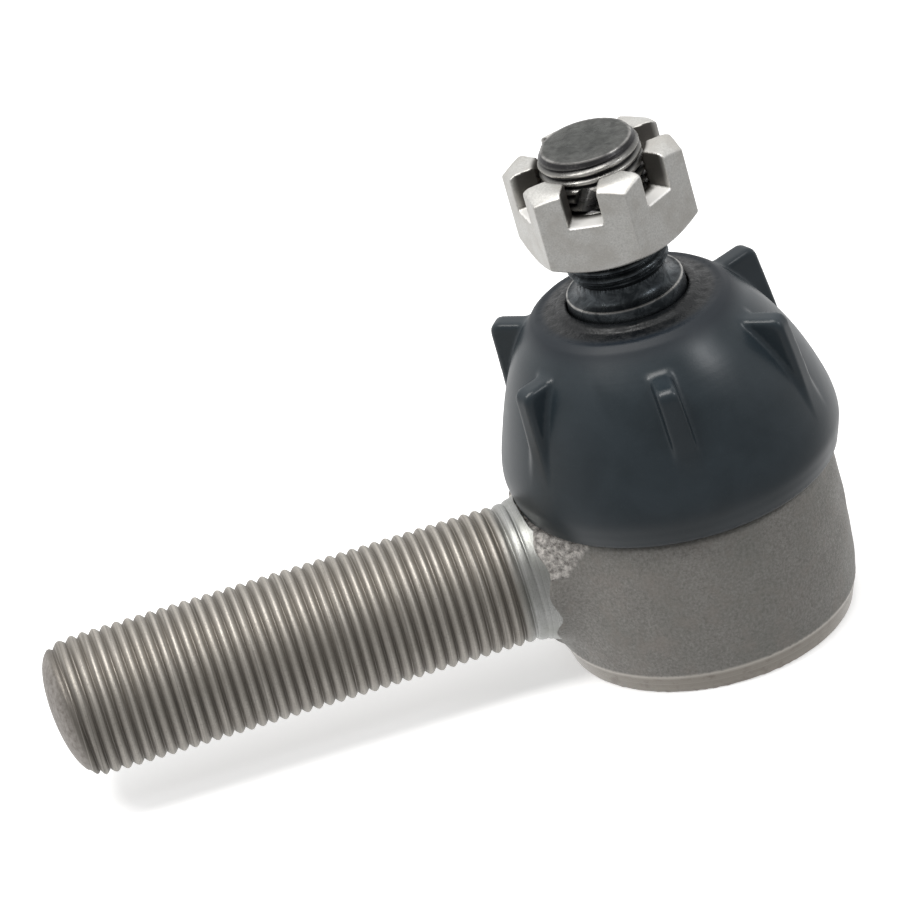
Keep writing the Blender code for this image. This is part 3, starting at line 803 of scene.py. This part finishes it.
def make_shank(material):
    """Turned collar and rolled thread of the shank, with a domed tip that isn't quite square."""
    length = -SHANK_TIP.x - BAR_START - 0.15 * MM
    fall = 1 - (DOME_FLAT_RADIUS / BLANK_RADIUS) ** 2

    def radius_at(height, phase):
        out = BAR_START + height
        left = length - height
        started = np.clip((out - THREAD_START) / RUN_OUT + 1, 0, 1)
        ended = smooth_step((left - 1.8 * MM) / (1.8 * MM))
        crest = collar_radius(out) + (SHANK_RADIUS - BLANK_RADIUS) * started**3
        share = np.clip(1 - left / DOME_LENGTH, 0, 1)
        dome = BLANK_RADIUS * np.sqrt(1 - fall * share**DOME_POWER)
        dome = dome + (SHANK_RADIUS - BLANK_RADIUS) * (1 - share)
        crest = np.where(share > 0, dome, crest)
        from_root = (phase + 0.5) % 1 - 0.5
        scratch = SCRATCH_DEPTH * np.clip(12 * started * (1 - started), 0, 1)
        scratch = scratch * np.exp(-((from_root / 0.1) ** 2))
        return crest - (SHANK_RADIUS - SHANK_ROOT) * started * ended * groove(phase) - scratch

    verts, faces = thread_surface(length, SHANK_PITCH, radius_at, SHANK_COLUMNS, ROWS_PER_PITCH)
    radius = np.hypot(verts[:, 0], verts[:, 1])
    along = verts[:, 2].copy()
    verts[:, 2] += TIP_TILT * verts[:, 0] * smooth_step((along - length + 6 * MM) / (4 * MM))
    under_boot = np.hypot(along + BAR_START, verts[:, 1]) < SHANK_NOTCH_RADIUS
    notch = SHOULDER_HEIGHT - 0.05 * MM - SHANK_TIP.z
    verts[:, 0] = np.where(under_boot, np.minimum(verts[:, 0], notch), verts[:, 0])
    lay_down = Matrix.Rotation(math.radians(-90), 4, "Y")
    matrix = Matrix.Translation((-BAR_START, 0, SHANK_TIP.z)) @ lay_down
    item = new_object("shank_thread", verts, faces, material, matrix)
    # Place in the thread form, 0 at the root and 1 on the crest, which the material turns into painted shade in
    # the roots and brighter crests
    depth = (radius - SHANK_ROOT) / (SHANK_RADIUS - SHANK_ROOT)
    near_tip = smooth_step((along - length + 3.2 * MM) / (1.2 * MM))
    add_attribute(item, "depth", np.maximum(depth, 0.6 * near_tip))
    add_attribute(item, "tip", 0.8 * near_tip)
    start = THREAD_START - BAR_START
    add_attribute(item, "collar", 1 - smooth_step((along - start + 3.0 * MM) / (3.0 * MM)))
    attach(item, "socket")


def stud_frame():
    """Matrix whose Z runs along the stud from the ball centre."""
    return Matrix.Translation(BALL) @ Matrix.Rotation(-STUD_LEAN, 4, "Y")


def make_stud(material):
    """Stud with head, journal, taper and shoulder, a painted highlight on the shoulder's edge, and its thread with
    the cross hole.
    """
    outline = [(0.0, -HEAD_DEPTH)]
    head_start = math.asin(-HEAD_DEPTH / BALL_RADIUS)
    head_end = math.asin(-SEAT_FACE / BALL_RADIUS)
    for angle in np.linspace(head_start, head_end, 7):
        outline.append((BALL_RADIUS * math.cos(angle), BALL_RADIUS * math.sin(angle)))
    outline += [(JOURNAL_RADIUS, -SEAT_FACE), (JOURNAL_RADIUS, TAPER_START)]
    for share in np.linspace(0.1, 0.985, 12):
        radius = JOURNAL_RADIUS + (TAPER_END_RADIUS - JOURNAL_RADIUS) * share
        outline.append((radius, TAPER_START + (TAPER_END - TAPER_START) * share))
    outline += [
        (TAPER_END_RADIUS, TAPER_END - 0.25 * MM),
        (TAPER_END_RADIUS - 0.04 * MM, TAPER_END - 0.08 * MM),
        (TAPER_END_RADIUS - 0.22 * MM, TAPER_END),
        (TAPER_END_RADIUS - 0.34 * MM, TAPER_END - 0.01 * MM),
        (TAPER_END_RADIUS - 0.55 * MM, TAPER_END - 0.05 * MM),
        (UNDERCUT_RADIUS + 0.9 * MM, TAPER_END + 0.25 * MM),
        (UNDERCUT_RADIUS + 0.3 * MM, TAPER_END + 0.8 * MM),
        (UNDERCUT_RADIUS, STUD_THREAD_START),
        (UNDERCUT_RADIUS, STUD_THREAD_START + 0.8 * MM),
        (0.0, STUD_THREAD_START + 0.8 * MM),
    ]
    verts, faces = turn_outline(outline, LATHE_FACETS)
    length = STUD_TIP - STUD_THREAD_START

    def radius_at(height, phase):
        thread = STUD_RADIUS - (STUD_RADIUS - STUD_ROOT) * groove(phase + STUD_PHASE)
        low = UNDERCUT_RADIUS + height * 0.8
        high = STUD_TIP_RADIUS + (length - height) * 0.6
        return np.minimum(thread, np.minimum(low, high))

    bar, bar_faces = thread_surface(length, STUD_PITCH, radius_at, STUD_COLUMNS, ROWS_PER_PITCH)
    bar = bar + np.array([0, 0, STUD_THREAD_START])
    matrix = stud_frame()
    item = new_object("stud", bar, bar_faces, material, matrix)
    body = new_object("stud_body", verts, faces, material, matrix)
    bore = [
        (0, -PIN_HOLE_REACH),
        (PIN_HOLE_RADIUS, -PIN_HOLE_REACH),
        (PIN_HOLE_RADIUS, PIN_HOLE_REACH),
        (0, PIN_HOLE_REACH),
    ]
    hole, hole_faces = turn_outline(bore, HOLE_FACETS)
    turn = Matrix.Rotation(NUT_TURN - math.radians(90), 4, "Z")
    turn = turn @ Matrix.Rotation(math.radians(90), 4, "Y")
    place = matrix @ Matrix.Translation((0, 0, PIN_HOLE_HEIGHT)) @ turn
    cutter = new_object("pin_hole_cutter", hole, hole_faces, material, place)
    for operation, tool in (("UNION", body), ("DIFFERENCE", cutter)):
        modifier = item.modifiers.new(operation, "BOOLEAN")
        modifier.operation = operation
        modifier.solver = "EXACT"
        modifier.object = tool
    bpy.context.view_layer.update()
    graph = bpy.context.evaluated_depsgraph_get()
    mesh = bpy.data.meshes.new_from_object(item.evaluated_get(graph))
    item.modifiers.clear()
    item.data = mesh
    for tool in (body, cutter):
        bpy.data.objects.remove(tool)
    mesh.shade_smooth()
    mesh.set_sharp_from_angle(angle=math.radians(50))
    points = np.array([v.co for v in mesh.vertices])
    radius = np.hypot(points[:, 0], points[:, 1])
    along = points[:, 2]
    # Place in the thread form, for painted shade in the roots and brighter crests; the rest of the stud sits in
    # between
    depth = np.where(along > STUD_THREAD_START, (radius - STUD_ROOT) / (STUD_RADIUS - STUD_ROOT), 0.5)
    # Painted highlight along the shoulder's edge and round the tip's rim
    shoulder = smooth_step((along - TAPER_END + 0.3 * MM) / (0.2 * MM))
    shoulder = shoulder * (radius > TAPER_END_RADIUS - 0.3 * MM) * (along < STUD_THREAD_START)
    tip_rim = smooth_step((radius - STUD_TIP_RADIUS + 0.5 * MM) / (0.4 * MM))
    tip_rim = tip_rim * smooth_step((along - STUD_TIP + 0.25 * MM) / (0.2 * MM))
    add_attribute(item, "depth", np.clip(depth, 0, 1))
    add_attribute(item, "edge_highlight", np.maximum(0.85 * shoulder, 0.7 * tip_rim))
    add_attribute(item, "tip", (along > STUD_TIP - 0.1 * MM) * (radius < STUD_TIP_RADIUS - 0.2 * MM))
    # Inside the pin hole, which gets painted shade along with the grease
    in_hole = np.abs(along - PIN_HOLE_HEIGHT) < PIN_HOLE_RADIUS + 0.2 * MM
    in_hole = in_hole & (radius < STUD_ROOT - 0.2 * MM)
    grease_and_hole_shade = 1 - smooth_step((along - NUT_BOTTOM - 3 * MM) / (2 * MM))
    add_attribute(item, "grease_and_hole_shade", np.maximum(grease_and_hole_shade, in_hole))
    bake_place(item)
    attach(item, "stud")
    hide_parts("ball_stud")


def hexagon(x, y):
    """Radius, angle, and distances across and beside the middle of the nearest flat of the nut."""
    angle = np.arctan2(y, x) - NUT_TURN
    radius = np.hypot(x, y)
    sector = (angle + math.tau) % math.radians(60) - math.radians(30)
    return radius, angle, radius * np.cos(sector), radius * np.sin(sector)


def nut_field(points):
    """Distance field of the slotted nut, in the stud's frame."""
    x, y, z = points.T
    radius, angle, across, aside = hexagon(x, y)
    flat = across - NUT_ACROSS_FLATS / 2
    top = NUT_BOTTOM + NUT_HEIGHT
    body = smooth_max(smooth_max(flat, z - top, NUT_EDGE), NUT_BOTTOM - z, NUT_EDGE)
    beyond = (radius - CHAMFER_CIRCLE * NUT_ACROSS_FLATS / 2) * math.sin(CHAMFER_SLOPE)
    cone_top = beyond + (z - top) * math.cos(CHAMFER_SLOPE)
    cone_low = beyond - (z - NUT_BOTTOM) * math.cos(CHAMFER_SLOPE)
    body = smooth_max(smooth_max(body, cone_top, NUT_EDGE), cone_low, NUT_EDGE)
    slot = smooth_max(np.abs(aside) - SLOT_WIDTH / 2, top - SLOT_DEPTH - z, 0.5 * MM)
    body = smooth_max(body, -slot, NUT_EDGE)
    bore = STUD_RADIUS + 0.12 * MM + 0.55 * MM * groove(z / STUD_PITCH - angle / math.tau)
    mouth = STUD_RADIUS + 0.9 * MM - np.minimum(top - z, z - NUT_BOTTOM)
    return np.maximum(body, np.maximum(bore, mouth) - radius)


def make_nut(material):
    """Slotted nut with rounded edges, chamfered corners and a threaded bore."""
    corner = NUT_ACROSS_FLATS / 2 / math.cos(math.radians(30))
    low = (-corner, -corner, NUT_BOTTOM)
    high = (corner, corner, NUT_BOTTOM + NUT_HEIGHT)
    verts, faces = skin(nut_field, low, high, NUT_GRID)
    item = new_object("castle_nut", verts, faces, material, stud_frame())
    radius, _, across, aside = hexagon(verts[:, 0], verts[:, 1])
    lift = verts[:, 2] - NUT_BOTTOM - NUT_HEIGHT + SLOT_DEPTH
    # Painted shade in the bore and on the slot walls
    bore = 1 - smooth_step((radius - 8.4 * MM) / (1.0 * MM))
    wall = (np.abs(aside) < SLOT_WIDTH / 2 + 0.06 * MM) * (lift > 0.2 * MM)
    wall = wall * smooth_step((NUT_ACROSS_FLATS / 2 - across) / (1.2 * MM))
    add_attribute(item, "inner", np.maximum(bore, 0.85 * wall))
    # Painted highlight on the slot floors
    floor = (np.abs(lift) < 0.12 * MM) * (np.abs(aside) < SLOT_WIDTH / 2 - 0.2 * MM)
    add_attribute(item, "slot_floor", floor * smooth_step((radius - 9 * MM) / MM))
    bake_place(item)
    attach(item, "nut")
    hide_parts("slotted_nut")


def upright(points):
    """Boot points with its lean taken out."""
    share = smooth_step((points[:, 2] - LEAN_START) / (LEAN_FULL - LEAN_START))
    result = points.copy()
    result[:, 0] += math.tan(STUD_LEAN) * (points[:, 2] - BALL.z) * share
    return result


def boot_field(points):
    """Distance field of the finned boot."""
    points = upright(points)
    x, y, z = points.T
    radius = np.hypot(x, y)
    solid = [(0.0, BOOT_BOTTOM), (25.0 * MM, BOOT_BOTTOM), (25.45 * MM, BOOT_BOTTOM + 0.35 * MM)]
    solid += curve_through(DOME, 6)
    solid += [
        (LAND_RADIUS + 0.35 * MM, BOOT_TOP - 1.15 * MM),
        (LAND_RADIUS - 0.1 * MM, BOOT_TOP - 1.0 * MM),
        (LAND_RADIUS - 0.5 * MM, BOOT_TOP - 1.15 * MM),
        (HOLE_RADIUS + 2.0 * MM, BOOT_TOP - 0.75 * MM),
        (HOLE_RADIUS + 1.4 * MM, BOOT_TOP - 0.05 * MM),
        (HOLE_RADIUS + 0.4 * MM, BOOT_TOP),
        (0.0, BOOT_TOP),
    ]
    dome = outline_distance(radius, z, solid)
    angle = np.arctan2(y, x) - FIN_TURN
    sector = (angle + math.radians(30) + 2 * math.tau) % math.radians(60) - math.radians(30)
    out = radius * np.cos(sector)
    aside = np.abs(radius * np.sin(sector))
    towards_high = x * math.cos(FIN_HIGH_SIDE) + y * math.sin(FIN_HIGH_SIDE)
    top = FIN_TOP + towards_high * math.tan(FIN_TILT)
    down = np.clip((top - z) / (FIN_TOP - RIM_HEIGHT), 0, 1)
    half = FIN_WIDTH / 2 + 0.4 * MM * down
    reach = FIN_RADIUS + FIN_SPREAD * down
    fin = smooth_max(smooth_max(z - top, out - reach, 1.8 * MM), aside - half, 0.9 * MM)
    fin = np.maximum(fin, np.maximum(FIN_FOOT - z, FIN_INNER_RADIUS - out))
    body = smooth_min(dome, fin, 0.8 * MM)
    void = [(0.0, BOOT_BOTTOM - MM), (RIM_INSIDE, BOOT_BOTTOM - MM), (RIM_INSIDE, RIM_HEIGHT)]
    void += [(BEAD_RADIUS, RIM_HEIGHT), (BEAD_RADIUS, BEAD_HEIGHT)] + curve_through(INSIDE, 4)[::-1]
    void += [(HOLE_RADIUS, INSIDE[0][1] * MM + 0.9 * MM), (HOLE_RADIUS, BOOT_TOP + MM)]
    void += [(0.0, BOOT_TOP + MM)]
    return smooth_max(body, -outline_distance(radius, z, void), 0.3 * MM)


def make_boot(material):
    """Rubber boot, whose base sits on the socket and whose mouth leans with the stud as it rests."""
    low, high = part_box("dust_boot")
    verts, faces = skin(boot_field, tuple(low), tuple(high), BODY_GRID)
    item = new_object("finned_boot", verts, faces, material)
    straight = upright(verts)
    radius = np.hypot(straight[:, 0], straight[:, 1])
    grease = smooth_step((LAND_RADIUS - 0.4 * MM - radius) / (1.2 * MM))
    grease = grease * smooth_step((verts[:, 2] - GREASE_HEIGHT) / (2 * MM))
    add_attribute(item, "grease", grease)
    add_attribute(item, "crown", smooth_step((verts[:, 2] - CROWN_HEIGHT) / (3 * MM)))
    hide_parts("dust_boot")
    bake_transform(item)


def make_plate(material):
    """Pressed closure plate, flush with the socket's bottom."""
    rim = RECESS_RADIUS - 0.3 * MM
    centre = LIP_RADIUS - 0.3 * MM
    low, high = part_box("closure_plate")
    outline = [
        (0.0, low.z),
        (centre, low.z),
        (centre, LIP_THICKNESS + 0.3 * MM),
        (rim, LIP_THICKNESS + 0.3 * MM),
        (rim, high.z - 1.4 * MM),
        (rim - 1.4 * MM, high.z - 1.4 * MM),
        (rim - 1.4 * MM, high.z),
        (0.0, high.z),
    ]
    outline[1:1] = [(radius * MM, height * MM) for radius, height in PLATE_RING]
    verts, faces = turn_outline(rounded(outline, 0.35 * MM), LATHE_FACETS)
    item = new_object("bottom_plate", verts, faces, material)
    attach(item, "socket")
    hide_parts("closure_plate")


# ---------------------------------------------------------------- stage

def add_area(name, elevation, azimuth, distance, size, power, colour):
    """Soft square light aimed at the part from a direction in degrees."""
    light = bpy.data.lights.new(name, "AREA")
    light.shape = "RECTANGLE"
    light.size = light.size_y = size
    light.energy = power
    light.color = colour
    item = bpy.data.objects.new(name, light)
    level, turn = math.radians(elevation), math.radians(azimuth)
    out = Vector((math.cos(level) * math.cos(turn), math.cos(level) * math.sin(turn), math.sin(level)))
    item.location = Vector((-0.02, 0, 0.03)) + out * distance
    item.rotation_euler = (-out).to_track_quat("-Z", "Y").to_euler()
    bpy.context.scene.collection.objects.link(item)


def make_camera():
    """Long lens, above and in front, rolled so that the stud leans to the left."""
    azimuth = math.radians(6.04)
    elevation = math.radians(28.27)
    roll = math.radians(14.22)
    distance = 0.8
    aim = Vector((-41.0 * MM, 25.5 * MM, 0.0))
    turn = (
        Matrix.Rotation(-azimuth, 3, "Z")
        @ Matrix.Rotation(math.radians(90) - elevation, 3, "X")
        @ Matrix.Rotation(-roll, 3, "Z")
    )
    data = bpy.data.cameras.new("camera")
    data.sensor_width = 36.0
    data.lens = 203.3
    data.clip_start = 0.01
    item = bpy.data.objects.new("camera", data)
    item.matrix_world = Matrix.Translation(turn @ (aim + Vector((0, 0, distance)))) @ turn.to_4x4()
    bpy.context.scene.collection.objects.link(item)
    bpy.context.scene.camera = item


def make_stage():
    """Pale floor, surroundings that are brighter behind the part, and soft lights."""
    scene = bpy.context.scene
    scene.view_settings.view_transform = "Standard"
    material, tree, shader = new_material("floor_white", Roughness=0.9)
    grain = noise(tree, object_coords(tree), 40 * MM, 2.0)
    colour = mix(tree, grain, (0.90, 0.90, 0.90), (0.93, 0.93, 0.93))
    tree.links.new(colour, shader.inputs["Base Color"])
    shader.inputs["Emission Color"].default_value = (1.0, 1.0, 1.0, 1.0)
    shader.inputs["Emission Strength"].default_value = FLOOR_GLOW
    reach, level = 3.0, -0.02 * MM
    corners = [(-reach, -reach), (reach, -reach), (reach, reach), (-reach, reach)]
    floor = new_object("floor", [(x, y, level) for x, y in corners], [(0, 1, 2, 3)], material)
    floor.visible_glossy = False
    floor.visible_diffuse = False
    world = bpy.data.worlds.new("studio")
    world.use_nodes = True
    tree = world.node_tree
    direction = add_node(tree, "ShaderNodeTexCoord").outputs["Generated"]
    split = add_node(tree, "ShaderNodeSeparateXYZ", {0: direction})
    glow = ramp(tree, split.outputs["Y"], -0.7, 0.7, WORLD_FRONT, WORLD_BACK)
    glow = plus(tree, glow, ramp(tree, split.outputs["Z"], -0.1, -0.6, 0, WORLD_BELOW))
    inputs = {0: direction, 1: DIM_DIRECTION}
    dim = add_node(tree, "ShaderNodeVectorMath", inputs, operation="DOT_PRODUCT").outputs["Value"]
    glow = times(tree, glow, ramp(tree, dim, 0.75, 0.97, 1.0, DIM_SHARE))
    tree.links.new(glow, tree.nodes["Background"].inputs["Strength"])
    tree.nodes["Background"].inputs["Color"].default_value = (1.0, 1.0, 1.0, 1.0)
    scene.world = world
    add_area("key", 83, -96, distance=0.7, size=0.34, power=2.4, colour=(1.0, 0.985, 0.96))
    add_area("left", 60, -158, distance=0.8, size=0.20, power=2.0, colour=(1.0, 0.99, 0.97))
    add_area("right", 40, -33, distance=0.8, size=0.14, power=0.9, colour=(0.97, 0.98, 1.0))


def main():
    """Build the pieces and the stage."""
    make_forging(forged_material())
    make_shank(thread_material())
    make_stud(stud_material())
    make_nut(nut_material())
    make_boot(rubber_material())
    plate = plain_metal("plate_steel", (0.27, 0.25, 0.22), (0.40, 0.375, 0.335), 0.34, 0.5, 0.5 * MM)
    make_plate(plate)
    bearing = plain_metal("bearing_steel", (0.27, 0.26, 0.25), (0.38, 0.37, 0.36), 0.22, 0.34, 0.4 * MM)
    spring = plain_metal("spring_steel", (0.06, 0.06, 0.065), (0.14, 0.14, 0.15), 0.3, 0.45, 0.4 * MM)
    bronze = plain_metal("bronze", (0.36, 0.23, 0.10), (0.52, 0.36, 0.17), 0.28, 0.42, 0.4 * MM)
    seal = seal_material()
    hidden = {
        "plate_seal_ring": seal,
        "disc_spring": spring,
        "lower_bearing": bearing,
        "upper_bearing": bearing,
        "half_ball_bearing": bearing,
        "thrust_washer": bronze,
        "boot_base_ring": plate,
    }
    for name, material in hidden.items():
        mesh = frame["nodes"][name].data
        mesh.materials.clear()
        mesh.materials.append(material)
    make_camera()
    make_stage()


main()
